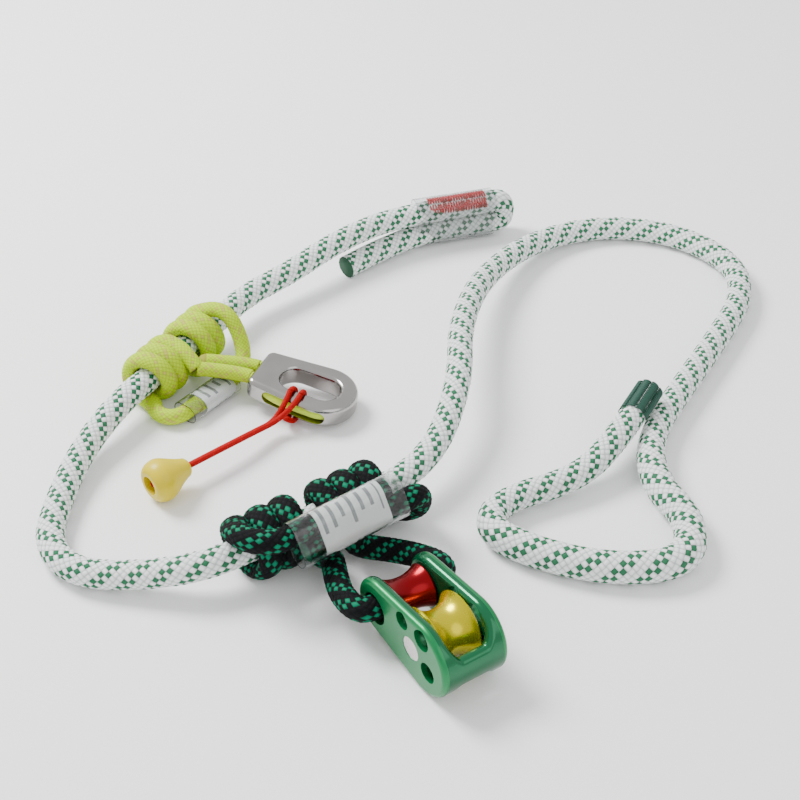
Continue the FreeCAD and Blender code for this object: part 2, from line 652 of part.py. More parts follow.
sheave = waisted(sheave_d / 2, sheave_tread_d / 2, sheave_width, bore_id + race_wall, axle_x)
seat = Part.makeCylinder(outer_r + fit_gap, bearing_width + 2 * fit_gap,
                         V(axle_x, -race_w - fit_gap, 0), Y)
side_bore = Part.makeCylinder(spacer_d / 2 + side_gap, sheave_width + 2,
                              V(axle_x, -sheave_width / 2 - 1, 0), Y)
sheave = sheave.cut(seat).cut(side_bore)
save("sheave", placed(sheave, pulley_place))
bobbin_width = channel_width - 2 * side_gap
save("sling_bobbin", placed(waisted(bobbin_d / 2, bobbin_waist_d / 2, bobbin_width,
                                    sling_r + bobbin_bore_gap, 0), pulley_place))
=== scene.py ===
# Adjustable anchor rope for tree work, dressed over its CAD model.
import bpy
import bmesh
import math
import numpy as np
from mathutils import Vector, Matrix


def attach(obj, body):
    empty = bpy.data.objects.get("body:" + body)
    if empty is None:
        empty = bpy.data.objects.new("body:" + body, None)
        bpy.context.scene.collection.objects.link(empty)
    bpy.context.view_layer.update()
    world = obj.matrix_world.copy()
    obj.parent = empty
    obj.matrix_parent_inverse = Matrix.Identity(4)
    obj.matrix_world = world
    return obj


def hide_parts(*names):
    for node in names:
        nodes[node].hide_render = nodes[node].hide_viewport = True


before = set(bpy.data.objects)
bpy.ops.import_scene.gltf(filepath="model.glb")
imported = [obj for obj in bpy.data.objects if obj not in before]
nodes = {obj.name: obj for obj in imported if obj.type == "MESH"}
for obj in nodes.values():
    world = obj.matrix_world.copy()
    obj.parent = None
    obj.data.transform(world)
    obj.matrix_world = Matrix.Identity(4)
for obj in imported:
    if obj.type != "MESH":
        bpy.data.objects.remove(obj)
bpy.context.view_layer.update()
print("frame loaded,", len(nodes), "nodes")


def mm(*values):
    return Vector([v / 1000 for v in values])


def place(origin, xAxis, up=(0, 0, 1)):
    # a local frame: x along xAxis, z as near up as it can be
    x = Vector(xAxis).normalized()
    y = Vector(up).cross(x).normalized()
    z = x.cross(y)
    rows = Matrix((x, y, z)).transposed().to_4x4()
    return Matrix.Translation(Vector(origin)) @ rows


# ---- camera, floor, light
view = {"target": (-0.016, 0.018, 0.0), "distance": 0.73, "elevation": 38, "lens": 65.7}


def makeCamera():
    lift = math.radians(view["elevation"])
    target = Vector(view["target"])
    camera = bpy.data.objects.new("camera", bpy.data.cameras.new("camera"))
    bpy.context.scene.collection.objects.link(camera)
    camera.location = target + Vector((0, -math.cos(lift), math.sin(lift))) * view["distance"]
    camera.rotation_euler = (math.radians(90 - view["elevation"]), 0, 0)
    camera.data.lens = view["lens"]
    camera.data.sensor_width = 36
    camera.data.clip_start = 0.01
    bpy.context.scene.camera = camera


studio = {"floor": 0.93, "world": 1.15, "key": 30, "fill": 5}


def areaLight(name, where, size, power, aim=(0, 0, 0)):
    lamp = bpy.data.objects.new(name, bpy.data.lights.new(name, "AREA"))
    bpy.context.scene.collection.objects.link(lamp)
    lamp.data.shape = "DISK"
    lamp.data.size = size
    lamp.data.energy = power
    lamp.location = where
    lamp.rotation_euler = (Vector(aim) - Vector(where)).to_track_quat("-Z", "Y").to_euler()


# ---- materials: sockets that can be used in plain arithmetic
class Val:
    def __init__(self, paint, socket):
        self.paint = paint
        self.socket = socket

    def calc(self, operation, *others):
        return self.paint.make("ShaderNodeMath", {"operation": operation}, [self, *others])

    def __add__(self, other):
        return self.calc("ADD", other)

    def __radd__(self, other):
        return self.calc("ADD", other)

    def __sub__(self, other):
        return self.calc("SUBTRACT", other)

    def __rsub__(self, other):
        return self.paint.make("ShaderNodeMath", {"operation": "SUBTRACT"}, [other, self])

    def __mul__(self, other):
        return self.calc("MULTIPLY", other)

    def __rmul__(self, other):
        return self.calc("MULTIPLY", other)

    def __lt__(self, other):
        return self.calc("LESS_THAN", other)

    def __gt__(self, other):
        return self.calc("GREATER_THAN", other)

    def __mod__(self, other):
        return self.calc("FLOORED_MODULO", other)

    def __pow__(self, other):
        return self.calc("POWER", other)

    def floor(self):
        return self.calc("FLOOR")

    def fract(self):
        return self.calc("FRACT")

    def sine(self):
        return self.calc("SINE")


class Paint:
    def __init__(self, name, **constants):
        self.material = bpy.data.materials.new(name)
        self.material.use_nodes = True
        self.tree = self.material.node_tree
        self.shader = self.tree.nodes["Principled BSDF"]
        for key, value in constants.items():
            label = {"coat": "Coat Weight", "coatRoughness": "Coat Roughness", "sheen": "Sheen Weight",
                     "transmission": "Transmission Weight", "ior": "IOR", "specular": "Specular IOR Level",
                     "metallic": "Metallic", "roughness": "Roughness", "alpha": "Alpha",
                     "anisotropy": "Anisotropic"}[key]
            self.shader.inputs[label].default_value = value

    def make(self, kind, settings=None, values=(), output=0):
        node = self.tree.nodes.new(kind)
        for key, value in (settings or {}).items():
            if key == "stops":
                ramp = node.color_ramp.elements
                while len(ramp) < len(value):
                    ramp.new(0.5)
                for stop, (at, color) in zip(ramp, value):
                    stop.position = at
                    stop.color = (*color, 1)
            else:
                setattr(node, key, value)
        pairs = values.items() if isinstance(values, dict) else enumerate(values)
        for key, value in pairs:
            if isinstance(value, Val):
                self.tree.links.new(value.socket, node.inputs[key])
            else:
                node.inputs[key].default_value = value
        return Val(self, node.outputs[output])

    def feed(self, label, value):
        self.tree.links.new(value.socket, self.shader.inputs[label])

    def blend(self, factor, first, second, mode="MIX"):
        def full(c):
            return c if isinstance(c, Val) else (*c, 1)
        return self.make("ShaderNodeMix", {"data_type": "RGBA", "blend_type": mode},
                         {0: factor, 6: full(first), 7: full(second)}, 2)

    def coords(self):
        return self.make("ShaderNodeTexCoord", {}, (), 3)

    def turned(self, matrix):
        # object coordinates seen from a local frame, in metres
        back = matrix.inverted()
        return self.make("ShaderNodeMapping", {"vector_type": "POINT"}, {
            "Vector": self.coords(), "Location": back.to_translation(),
            "Rotation": back.to_euler("XYZ")})

    def noise(self, vector, scale, detail=3.0, roughness=0.55):
        return self.make("ShaderNodeTexNoise", {}, {"Vector": vector, "Scale": scale,
                         "Detail": detail, "Roughness": roughness})

    def bump(self, height, strength, distance):
        normal = self.make("ShaderNodeBump", {}, {
            "Strength": strength, "Distance": distance, "Height": height})
        self.feed("Normal", normal)


def braidPaint(name, look):
    # S strands run one way round, Z strands the other; cells follow the braid UV map
    paint = Paint(name, sheen=look["sheen"], specular=look["gloss"])
    uv = paint.make("ShaderNodeUVMap", {"uv_map": "braid"})
    around = paint.make("ShaderNodeSeparateXYZ", {}, [uv])
    along = Val(paint, around.socket.node.outputs[1])
    s = around * look["strands"] + along + 2400
    z = around * look["strands"] - along + 2400
    over = ((s.floor() + z.floor()) % 2) < 0.5
    under = 1 - over
    markS = (s.floor() % look["repeat"]) < look["marked"]
    markZ = (z.floor() % look["repeatZ"]) < look["markedZ"]
    mark = over * markS + under * markZ
    across = over * s.fract() + under * z.fract()
    length = over * z.fract() + under * s.fract()
    crown = (across * math.pi).sine() * (0.45 + 0.55 * (length * math.pi).sine())
    cellId = s.floor() + z.floor() * 3
    fibre = paint.make("ShaderNodeCombineXYZ", {}, [across * 9, length * 1.2, cellId])
    thread = paint.noise(fibre, 1.0, 2.0)
    fuzz = paint.noise(paint.coords(), 900.0, 2.0)
    tone = paint.noise(paint.coords(), 45.0, 2.0)
    base = paint.blend(thread, look["base"], look["baseDeep"])
    fleck = paint.blend(thread, look["fleck"], look["fleckDeep"])
    color = paint.blend(mark, base, fleck)
    # painted shade: the colour is darkened by the shade colour in the hollows between strands, where the braid
    # dips
    hollowShade = (1 - crown) ** 1.7
    color = paint.blend(hollowShade * look["gap"], color, look["shade"], "MULTIPLY")
    color = paint.blend(tone * look["worn"], color, look["dust"])
    paint.feed("Base Color", color)
    paint.feed("Roughness", 0.62 + 0.25 * thread)
    paint.bump(crown * 0.5 + thread * 0.3 + fuzz * 0.25, 0.6, look["relief"])
    return paint.material


braids = {
    "whiteRope": dict(gloss=0.3, strands=12, repeat=4, marked=2, repeatZ=1, markedZ=0, relief=0.0008, gap=0.8,
                      sheen=0.0, worn=0.04, base=(0.9, 0.92, 0.9), baseDeep=(0.72, 0.77, 0.75),
                      fleck=(0.0, 0.16, 0.055), fleckDeep=(0.0, 0.08, 0.03),
                      shade=(0.3, 0.34, 0.33), dust=(0.75, 0.79, 0.77)),
    "blackCord": dict(gloss=0.1, strands=12, repeat=4, marked=2, repeatZ=1, markedZ=0, relief=0.0008, gap=0.8,
                      sheen=0.0, worn=0.03, base=(0.006, 0.007, 0.008), baseDeep=(0.001, 0.001, 0.001),
                      fleck=(0.0, 0.24, 0.12), fleckDeep=(0.0, 0.11, 0.055),
                      shade=(0.25, 0.28, 0.27), dust=(0.04, 0.045, 0.05)),
    "yellowCord": dict(gloss=0.2, strands=12, repeat=6, marked=1, repeatZ=6, markedZ=1, relief=0.0005, gap=0.7,
                       sheen=0.0, worn=0.1, base=(0.5, 0.72, 0.0), baseDeep=(0.36, 0.54, 0.0),
                       fleck=(0.12, 0.55, 0.08), fleckDeep=(0.75, 0.3, 0.06),
                       shade=(0.45, 0.48, 0.25), dust=(0.7, 0.8, 0.06)),
    "redCord": dict(gloss=0.15, strands=6, repeat=6, marked=1, repeatZ=1, markedZ=0, relief=0.0002, gap=0.7,
                    sheen=0.0, worn=0.05, base=(0.46, 0.0, 0.0), baseDeep=(0.32, 0.0, 0.001),
                    fleck=(0.58, 0.005, 0.005), fleckDeep=(0.42, 0.0, 0.002),
                    shade=(0.4, 0.35, 0.35), dust=(0.5, 0.02, 0.02)),
}
paints = {key: braidPaint(key, look) for key, look in braids.items()}


def threadPaint(name, color, deep):
    paint = Paint(name, sheen=0.05, roughness=0.6)
    grain = paint.noise(paint.coords(), 1600.0, 2.0)
    paint.feed("Base Color", paint.blend(grain, color, deep))
    paint.bump(grain, 0.5, 0.0002)
    return paint.material


def metalPaint(name, color, deep, metallic, roughness, scale, coat=0.0):
    # turned or polished metal with faint handling marks
    paint = Paint(name, metallic=metallic, coat=coat, coatRoughness=0.12)
    where = paint.coords()
    marks = paint.noise(where, scale, 5.0)
    wide = paint.noise(where, 60.0, 3.0)
    paint.feed("Base Color", paint.blend(wide, color, deep))
    paint.feed("Roughness", roughness + 0.12 * marks)
    paint.bump(marks, 0.03, 0.0001)
    return paint.material


def paintNode(name, material):
    mesh = nodes[name].data
    mesh.materials.clear()
    mesh.materials.append(material)


# ---- cords
def smoothLine(name, points, step):
    # evenly spaced points on a NURBS spline through the given control points, in metres
    curve = bpy.data.curves.new(name, "CURVE")
    curve.dimensions = "3D"
    curve.resolution_u = 16
    spline = curve.splines.new("NURBS")
    spline.points.add(len(points) - 1)
    for knot, point in zip(spline.points, points):
        knot.co = (*point, 1)
    spline.order_u = 3
    spline.use_endpoint_u = True
    holder = bpy.data.objects.new(name + "Line", curve)
    bpy.context.scene.collection.objects.link(holder)
    bpy.context.view_layer.update()
    mesh = bpy.data.meshes.new_from_object(holder)
    line = np.array([v.co[:] for v in mesh.vertices])
    bpy.data.objects.remove(holder)
    bpy.data.meshes.remove(mesh)
    gaps = np.linalg.norm(np.diff(line, axis=0), axis=1)
    line = line[np.concatenate([[True], gaps > 1e-7])]
    gaps = np.linalg.norm(np.diff(line, axis=0), axis=1)
    run = np.concatenate([[0], np.cumsum(gaps)])
    count = max(8, int(run[-1] / step))
    at = np.linspace(0, run[-1], count + 1)
    return np.stack([np.interp(at, run, line[:, i]) for i in range(3)], 1), at


def carried(line):
    # normals carried along the line without twist
    tangent = np.gradient(line, axis=0)
    tangent /= np.linalg.norm(tangent, axis=1)[:, None]
    normal = np.cross(tangent[0], (0, 0, 1.0))
    if np.linalg.norm(normal) < 0.1:
        normal = np.cross(tangent[0], (0, 1.0, 0))
    out = []
    for t in tangent:
        normal = normal - t * normal.dot(t)
        normal = normal / np.linalg.norm(normal)
        out.append(normal)
    side = np.array(out)
    return side, np.cross(tangent, side)


def weave(strands, around, along):
    s = around * strands + along + 2400
    z = around * strands - along + 2400
    over = (np.floor(s) + np.floor(z)) % 2 < 0.5
    across = np.where(over, s % 1, z % 1)
    length = np.where(over, z % 1, s % 1)
    return np.sqrt(np.sin(across * math.pi)) * (0.4 + 0.6 * np.sin(length * math.pi))


def braidTube(name, line, at, diameter, look, body, sides=48, cell=None, depth=0.0006,
              squeeze=None, width=None):
    # a braided tube along line, with its weave raised and a braid UV map
    look = braids[look] | {"key": look}
    count = look["strands"]
    cell = cell or math.pi * diameter / count
    side, up = carried(line)
    angle = np.linspace(0, 2 * math.pi, sides + 1)
    uAround = np.linspace(0, 1, sides + 1)
    rise = weave(count, uAround[None, :-1], (at / cell)[:, None])
    radius = (width(at) if width else np.full(len(at), diameter)) / 2
    reach = radius[:, None] - depth * (1 - rise)
    offset = reach[:, :, None] * (np.cos(angle[None, :-1, None]) * side[:, None, :]
                                  + np.sin(angle[None, :-1, None]) * up[:, None, :])
    if squeeze:
        offset = squeeze(line, offset)
    points = (line[:, None, :] + offset).reshape(-1, 3)
    mesh = bpy.data.meshes.new(name)
    rings = len(line)
    first = np.arange(rings - 1)[:, None] * sides
    here = np.arange(sides)[None, :]
    after = (here + 1) % sides
    quads = np.stack([first + here, first + after, first + sides + after, first + sides + here], 2)
    faces = [list(map(int, q)) for q in quads.reshape(-1, 4)]
    faces += [list(range(sides))[::-1], [(rings - 1) * sides + k for k in range(sides)]]
    mesh.from_pydata(points.tolist(), [], faces)
    layer = mesh.uv_layers.new(name="braid")
    steps = at / cell
    uv = np.zeros(((rings - 1) * sides, 4, 2))
    u0 = np.tile(uAround[:-1], rings - 1)
    u1 = np.tile(uAround[1:], rings - 1)
    v0 = np.repeat(steps[:-1], sides)
    v1 = np.repeat(steps[1:], sides)
    uv[:, 0] = np.stack([u0, v0], 1)
    uv[:, 1] = np.stack([u1, v0], 1)
    uv[:, 2] = np.stack([u1, v1], 1)
    uv[:, 3] = np.stack([u0, v1], 1)
    flat = np.zeros(len(layer.data) * 2)
    flat[:uv.size] = uv.reshape(-1)
    layer.data.foreach_set("uv", flat)
    mesh.materials.append(paints[look["key"]])
    piece = bpy.data.objects.new(name, mesh)
    bpy.context.scene.collection.objects.link(piece)
    work = bmesh.new()
    work.from_mesh(mesh)
    bmesh.ops.recalc_face_normals(work, faces=work.faces)
    work.to_mesh(mesh)
    work.free()
    mesh.shade_smooth()
    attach(piece, body)
    return piece


def pressed(origin, axis, reach, coilRadius, thick, wide, diameter):
    # turns pressed against the rope: thinner outward, wider along it, inside the hitch only
    origin, axis = np.array(origin), np.array(axis)

    def apply(line, offset):
        rel = line - origin
        run = rel @ axis
        out = rel - run[:, None] * axis
        away = np.linalg.norm(out, axis=1)
        out = out / np.maximum(away, 1e-6)[:, None]
        near = np.clip((coilRadius + 0.0035 - away) / 0.003, 0, 1)
        near *= np.clip((reach + 0.003 - np.abs(run)) / 0.004, 0, 1)
        a = (offset * out[:, None, :]).sum(2)[:, :, None]
        b = (offset * axis).sum(2)[:, :, None]
        k = near[:, None, None]
        return (offset + k * (thick / diameter - 1) * a * out[:, None, :]
                + k * (wide / diameter - 1) * b * axis)
    return apply


# the main rope, from the fold at the stopper round to the end sewn against the eye
ropePoints = [mm(*p) for p in (
    (37.5, 178.2, 21), (-16, 162, 21), (-50, 136, 20.5), (-76, 110, 15.7),
    (-97, 91, 14.7), (-111, 66.7, 14.7), (-138, 20, 14.7), (-152, -4.3, 14.7),
    (-165, -31, 9), (-170.5, -62, 6.5), (-171, -92, 6.5), (-156, -110.5, 6.5), (-128, -115, 9),
    (-97.5, -116.6, 16.2), (-71.9, -99.2, 16.2), (-47, -82.3, 16.2), (-3.2, -52.6, 16.2),
    (13, -3, 26.5), (14, 48, 26), (29, 107, 16.5), (60, 155, 8), (100, 174, 6.5),
    (142, 166, 6.5), (170, 136, 6.5), (170.5, 102, 6.5), (150, 63, 6.5), (126, 22, 6.5),
    (103, -19, 7.5), (100, -52, 7.5), (114, -80, 7.5), (107.5, -106, 7.5), (72, -109.5, 7.5),
    (38, -97, 7.5), (22, -83, 7.5), (30, -65, 7.5), (66, -51, 8), (86, -30, 15), (105, 3.5, 17))]
rope = {"diameter": 0.013, "eye": 0.0148, "cell": 0.0034}


def buildRope():
    line, at = smoothLine("mainRope", ropePoints, 0.0009)
    eyeFrom, eyeTo = 1.075, 1.265      # along the rope, where its own end is buried in it

    def width(run):
        swell = np.clip((run - eyeFrom) / 0.03, 0, 1) * np.clip((eyeTo - run) / 0.03, 0, 1)
        return rope["diameter"] + (rope["eye"] - rope["diameter"]) * swell
    piece = braidTube("mainRope", line, at, rope["diameter"], "whiteRope", "rope",
                      cell=rope["cell"], width=width)
    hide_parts("rope_stopper_run", "rope_left_run", "rope_arch", "rope_loop",
                "rope_right_leg", "rope_eye", "rope_return_leg")
    print("main rope", round(float(at[-1]), 3), "m")
    return line, at


def buildTail():
    top = ropePoints[0]
    back = Vector((53.5, 16.2, 0)).normalized() * 0.0066
    low = top - Vector((0, 0, 0.0132))
    along = Vector((-53.5, -16.2, 0)).normalized()
    points = [top, top + back, low + back, low, low + along * 0.05, mm(-46, 130, 6.5)]
    line, at = smoothLine("ropeTail", points, 0.0009)
    piece = braidTube("ropeTail", line, at, rope["diameter"], "whiteRope", "rope",
                      cell=rope["cell"])
    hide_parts("rope_tail")


# ---- the sliding hitch: x down the rope, y towards the ring
hitch = {"cord": 0.008, "thick": 0.0077, "wide": 0.0098, "coil": 10.65, "pitch": 9.7}
hitchDir = Vector((-55, -95.3, 0)).normalized()
hitchFrame = place(mm(-97, 91, 14.7) + hitchDir * 0.0624, hitchDir)


def inFrame(matrix, x, y, z, axisHeight):
    return matrix @ mm(x, y, z - axisHeight)


def coilPoints(matrix, radius, x0, x1, from_, to):
    # turns of a coil round local x, 16 points a turn, angle 0 towards +y and 90 up
    count = int(abs(to - from_) / 22.5)
    points = []
    for k in range(count + 1):
        a = math.radians(from_ + (to - from_) * k / count)
        x = x0 + (x1 - x0) * k / count
        points.append(matrix @ mm(x, radius * math.cos(a), radius * math.sin(a)))
    return points


def buildHitch():
    def at(x, y, z):
        return inFrame(hitchFrame, x, y, z, 14.7)
    lower = [at(8.2, 18.6, 17.7), at(6.6, 12, 23)]
    lower += coilPoints(hitchFrame, hitch["coil"], 5.6, 26.6, 84, 980)
    lower += [at(29, 6, 4.9), at(33.5, 11, 4.7), at(34.5, 17.5, 4.8), at(31.5, 22.8, 5.1),
              at(25, 24.5, 5.3), at(-4, 27.4, 5.3)]
    upper = [at(0.8, 18.6, 17.7), at(-1, 15.5, 11.5), at(-3, 10, 6.5)]
    upper += coilPoints(hitchFrame, hitch["coil"], -5.2, -25, -78, -960)
    upper += [at(-27, 6, 28.5), at(-26.5, 14, 27.5), at(-25, 20.5, 20), at(-21, 26, 11),
              at(-13, 28.7, 6), at(-5, 28.5, 5.3), at(20, 26.2, 5.3)]
    squeeze = pressed(hitchFrame.translation, hitchDir, 0.031, 0.0113,
                      hitch["thick"], hitch["wide"], hitch["cord"])
    for name, points, gone in (
            ("hitchCordLower", lower, ("adjuster_turns_lower", "adjuster_bridge_lower")),
            ("hitchCordUpper", upper, ("adjuster_turns_upper", "adjuster_bridge_upper",
                                       "adjuster_splice"))):
        line, run = smoothLine(name, points, 0.0008)
        piece = braidTube(name, line, run, hitch["cord"], "yellowCord", "adjuster", sides=40,
                          cell=0.0021, depth=0.0003, squeeze=squeeze)
        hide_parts(*gone)
    print("sliding hitch done")


# ---- thimble ring, its legs and the red cord
ringFrame = place(mm(-62.5, 13.0, 10.1), (46, -18.6, -6.2))


def buildLegs():
    mouthX, mouthY = -27.5, 4.4
    for name, rootX, side, node in (("ringLegFront", 8.2, 1, "adjuster_leg_front"),
                                    ("ringLegBack", 0.8, -1, "adjuster_leg_back")):
        root = inFrame(hitchFrame, rootX, 18.6, 17.7, 14.7)
        before = ringFrame @ mm(mouthX - 7, -side * (mouthY - 0.4), 0)
        entry = ringFrame @ mm(mouthX, -side * mouthY, 0)
        line, run = smoothLine(name, [root, before, entry], 0.0008)
        piece = braidTube(name, line, run, 0.0074, "yellowCord", "ring", sides=40,
                          cell=0.0021, depth=0.0003)
        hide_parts(node)


coneDir = Vector((0.754, 0.656, 0)).normalized()
coneSmall = mm(-114, -45, 10.5)
red = {"cord": 0.0028, "knot": 0.008}


def ringAt(x, y, z):
    return ringFrame @ mm(x, y, z)


def buildRedCord():
    barOut = -17.25 * 0.93 - 1.4 - 0.4
    barIn = -8.4 + 1.4 + 0.7
    barTop = 5.75 + 1.4 + 0.3
    side = Vector((0, 0, 1)).cross(coneDir)
    hold = ringAt(-4.5, barOut - 7, -3.5)
    knotAt = coneSmall - coneDir * 0.0165
    straight = coneSmall + coneDir * 0.024
    lay = Vector((12, 13, -2)) / 1000
    for name, s, x, node in (("redCordLeft", 1, -3.0, "retrieval_cord_left"),
                             ("redCordRight", -1, 2.5, "retrieval_cord_right")):
        shift = (side * 0.8 - Vector((0, 0, 0.6))) * (s * 0.00145)
        start = knotAt + coneDir * 0.004 + shift
        points = [start, straight + shift, straight + lay + shift, hold + shift,
                  ringAt(x + 0.5 * s, barOut, barTop - 2.5), ringAt(x, barOut + 5, barTop + 0.2)]
        line, run = smoothLine(name, points, 0.0005)
        piece = braidTube(name, line, run, red["cord"], "redCord", "ring", sides=20,
                          cell=0.00135, depth=0.00012)
        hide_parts(node)
    points = [ringAt(*p) for p in (
        (-3.0, barOut + 5, barTop + 0.2), (-2.7, barIn - 0.2, barTop), (-2.4, barIn, -barTop),
        (-2, barOut + 2, -barTop), (-2, barOut - 1.5, -barTop + 3), (1.5, barOut - 1.5, -barTop + 3),
        (1.5, barOut + 2, -barTop), (1.9, barIn, -barTop), (2.2, barIn - 0.2, barTop),
        (2.5, barOut + 5, barTop + 0.2))]
    line, run = smoothLine("redCordHitch", points, 0.0005)
    piece = braidTube("redCordHitch", line, run, red["cord"], "redCord", "ring", sides=20,
                      cell=0.00135, depth=0.00012)
    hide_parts("retrieval_loop")
    # knot in the mouth of the cone, a small overhand lump
    lump = []
    for k in range(40):
        a = 4 * math.pi * k / 39
        r = 2.0 + 0.75 * math.cos(1.5 * a)
        lump.append(knotAt + (side * math.cos(a) * r + Vector((0, 0, 1)) * math.sin(a) * r
                              + coneDir * 1.5 * math.sin(1.5 * a)) / 1000)
    line, run = smoothLine("redKnot", lump, 0.0005)
    piece = braidTube("redKnot", line, run, red["cord"], "redCord", "ring", sides=20,
                      cell=0.00135, depth=0.00012)
    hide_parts("retrieval_knot")
    print("ring cords done")


# ---- the sling hitch: x up the rope, y towards the pulley
sling = {"cord": 0.011, "thick": 0.009, "wide": 0.0128, "coil": 11.5, "pressed": 0.0013}
slingDir = Vector((-94.3, -64, 0)).normalized()
slingFrame = place(mm(-3.2, -52.6, 16.2) + slingDir * 0.0623, slingDir)
pulleyFrame = place(mm(-13.4, -133.1, 17.2), (0.553, -0.833, 0))


def buildSling():
    def at(x, y, z):
        return inFrame(slingFrame, x, y, z, 16.2)

    def pulley(x, y, z=0):
        return pulleyFrame @ mm(x, y, z)

    points = [at(-27, 18.8, 34.2), at(2, 19.1, 33), at(20, 19.3, 32), at(29, 18.6, 32.6),
              at(36.5, 13, 33), at(38, 4, 30.8)]
    points += coilPoints(slingFrame, sling["coil"], 34, 7, 112, 112 + 854)[1:]
    points += [at(4, 15.5, 8.5), at(1.5, 19.5, 9.5), pulley(-31, -15.5, -5),
               pulley(-17, -21.5, -2), pulley(-4, -22.3), pulley(0, -17), pulley(0, 17),
               pulley(-4, 22.3), pulley(-17, 21, -4), pulley(-31, 13, -7),
               at(-12, 19.5, 9.5), at(-9, 18.5, 15), at(-7, 12.5, 24)]
    points += coilPoints(slingFrame, sling["coil"], -7, -35, 84, 84 + 900)[1:]
    points += [at(-39.5, 6, 6.2), at(-45, 11.5, 8.5), at(-46, 17, 15), at(-42.5, 21.5, 26),
               at(-33, 23.2, 27.8), at(-22, 23.2, 27), at(2, 23.5, 26.1), at(17, 23.7, 25.3)]
    line, run = smoothLine("slingCord", points, 0.0009)
    sleeveStart, sleeveEnd, sleeveSide, sleeveLow = -0.031, 0.022, 0.0165, 0.008
    softening = 7
    local = (line - np.array(slingFrame.translation)) @ np.array(slingFrame.to_3x3())
    inSleeve = ((local[:, 0] > sleeveStart) & (local[:, 0] < sleeveEnd)
                & (local[:, 1] > sleeveSide) & (local[:, 2] > sleeveLow)).astype(float)
    inSleeve = np.convolve(inSleeve, np.ones(softening) / softening, "same")

    def width(run):
        # the cord is drawn thinner where the clear sleeve grips it
        return np.full(len(run), sling["cord"]) - inSleeve * sling["pressed"]
    squeeze = pressed(slingFrame.translation, slingDir, 0.040, 0.0125,
                      sling["thick"], sling["wide"], sling["cord"])
    piece = braidTube("slingCord", line, run, sling["cord"], "blackCord", "sling",
                      cell=0.0029, depth=0.0005, squeeze=squeeze, width=width)
    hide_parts("sling_turns_left", "sling_turns_right", "sling_bridge_left",
                "sling_splice", "sling_bridge_right", "sling_legs")
    print("sling cord", round(float(run[-1]), 3), "m")


# ---- sewing: zigzag thread over a patch of the rope
def stitchPatch(name, node, matrix, radius, x0, x1, middle, half, gap, thread, material):
    work = bmesh.new()
    rows = max(3, int((x1 - x0) / gap))
    columns = max(2, int(radius * math.radians(2 * half) / 4.2))
    for c in range(columns):
        a0 = middle - half + 2 * half * c / columns
        a1 = middle - half + 2 * half * (c + 0.94) / columns
        for r in range(rows * 2):
            fromA, toA = (a0, a1) if r % 2 == 0 else (a1, a0)
            fromX = x0 + (x1 - x0) * r / (rows * 2)
            toX = x0 + (x1 - x0) * (r + 1) / (rows * 2)
            ring = []
            for k in range(6):
                t = k / 5
                a = math.radians(fromA + (toA - fromA) * t)
                lift = radius + thread * (0.15 + 0.55 * math.sin(math.pi * t))
                centre = Vector((fromX + (toX - fromX) * t, lift * math.cos(a), lift * math.sin(a)))
                out = Vector((0, math.cos(a), math.sin(a)))
                around = []
                for q in range(5):
                    b = 2 * math.pi * q / 5
                    corner = centre + (out * math.cos(b) + Vector((1, 0, 0)) * math.sin(b)) * thread / 2
                    around.append(work.verts.new(matrix @ (corner / 1000)))
                ring.append(around)
            for one, two in zip(ring, ring[1:]):
                for q in range(5):
                    work.faces.new((one[q], one[(q + 1) % 5], two[(q + 1) % 5], two[q]))
            work.faces.new(ring[0])
            work.faces.new(ring[-1][::-1])
    bmesh.ops.recalc_face_normals(work, faces=work.faces)
    mesh = bpy.data.meshes.new(name)
    work.to_mesh(mesh)
    work.free()
    mesh.shade_smooth()
    mesh.materials.append(material)
    piece = bpy.data.objects.new(name, mesh)
    bpy.context.scene.collection.objects.link(piece)
    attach(piece, "rope")
    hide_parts(node)


def buildSewing():
    along = Vector((-53.5, -16.2, 0)).normalized()
    stitchPatch("redSewing", "stopper_stitching", place(ropePoints[0], along), 6.5, 6, 40, 60, 55,
                1.5, 0.8, threadPaint("redThread", (0.46, 0.0, 0.0), (0.55, 0.01, 0.008)))
    start, end = ropePoints[-2], ropePoints[-1]
    stitchPatch("greenSewing", "eye_stitching", place(start, end - start), 6.5, 17, 38, 80, 100,
                1.3, 0.8, threadPaint("greenThread", (0.0, 0.035, 0.02), (0.0, 0.07, 0.042)))


# ---- plain CAD pieces and their finishes
def sleevePaint():
    paint = Paint("clearSleeve", transmission=1.0, ior=1.4, specular=0.5)
    ripple = paint.noise(paint.coords(), 260.0, 3.0)
    paint.shader.inputs["Base Color"].default_value = (0.93, 0.95, 0.95, 1)
    paint.feed("Roughness", 0.05 + 0.15 * ripple)
    paint.bump(ripple, 0.35, 0.0006)
    return paint.material


def labelPaint(name, matrix, length, stripe):
    # pale strip with plain printed bars and a stripe
    paint = Paint(name, roughness=0.5, coat=0.3)
    local = paint.turned(matrix)
    x = paint.make("ShaderNodeSeparateXYZ", {}, [local])
    y = Val(paint, x.socket.node.outputs[1])
    perMetre, period, inked = 640, 3, 1.1
    rows = ((x * perMetre) % period) < inked
    reach = 0.0042 + 0.0014 * ((x * perMetre * 0.3333).floor() * 2.3).sine()
    bars = y.calc("ABSOLUTE") < reach
    inside = (x > length * 0.18) * (x < length * 0.86)
    ink = rows * bars * inside
    color = paint.blend(ink * 0.8, (0.86, 0.87, 0.86), (0.12, 0.14, 0.15))
    edge = (x < length * 0.08)
    color = paint.blend(edge, color, stripe)
    paint.feed("Base Color", color)
    return paint.material


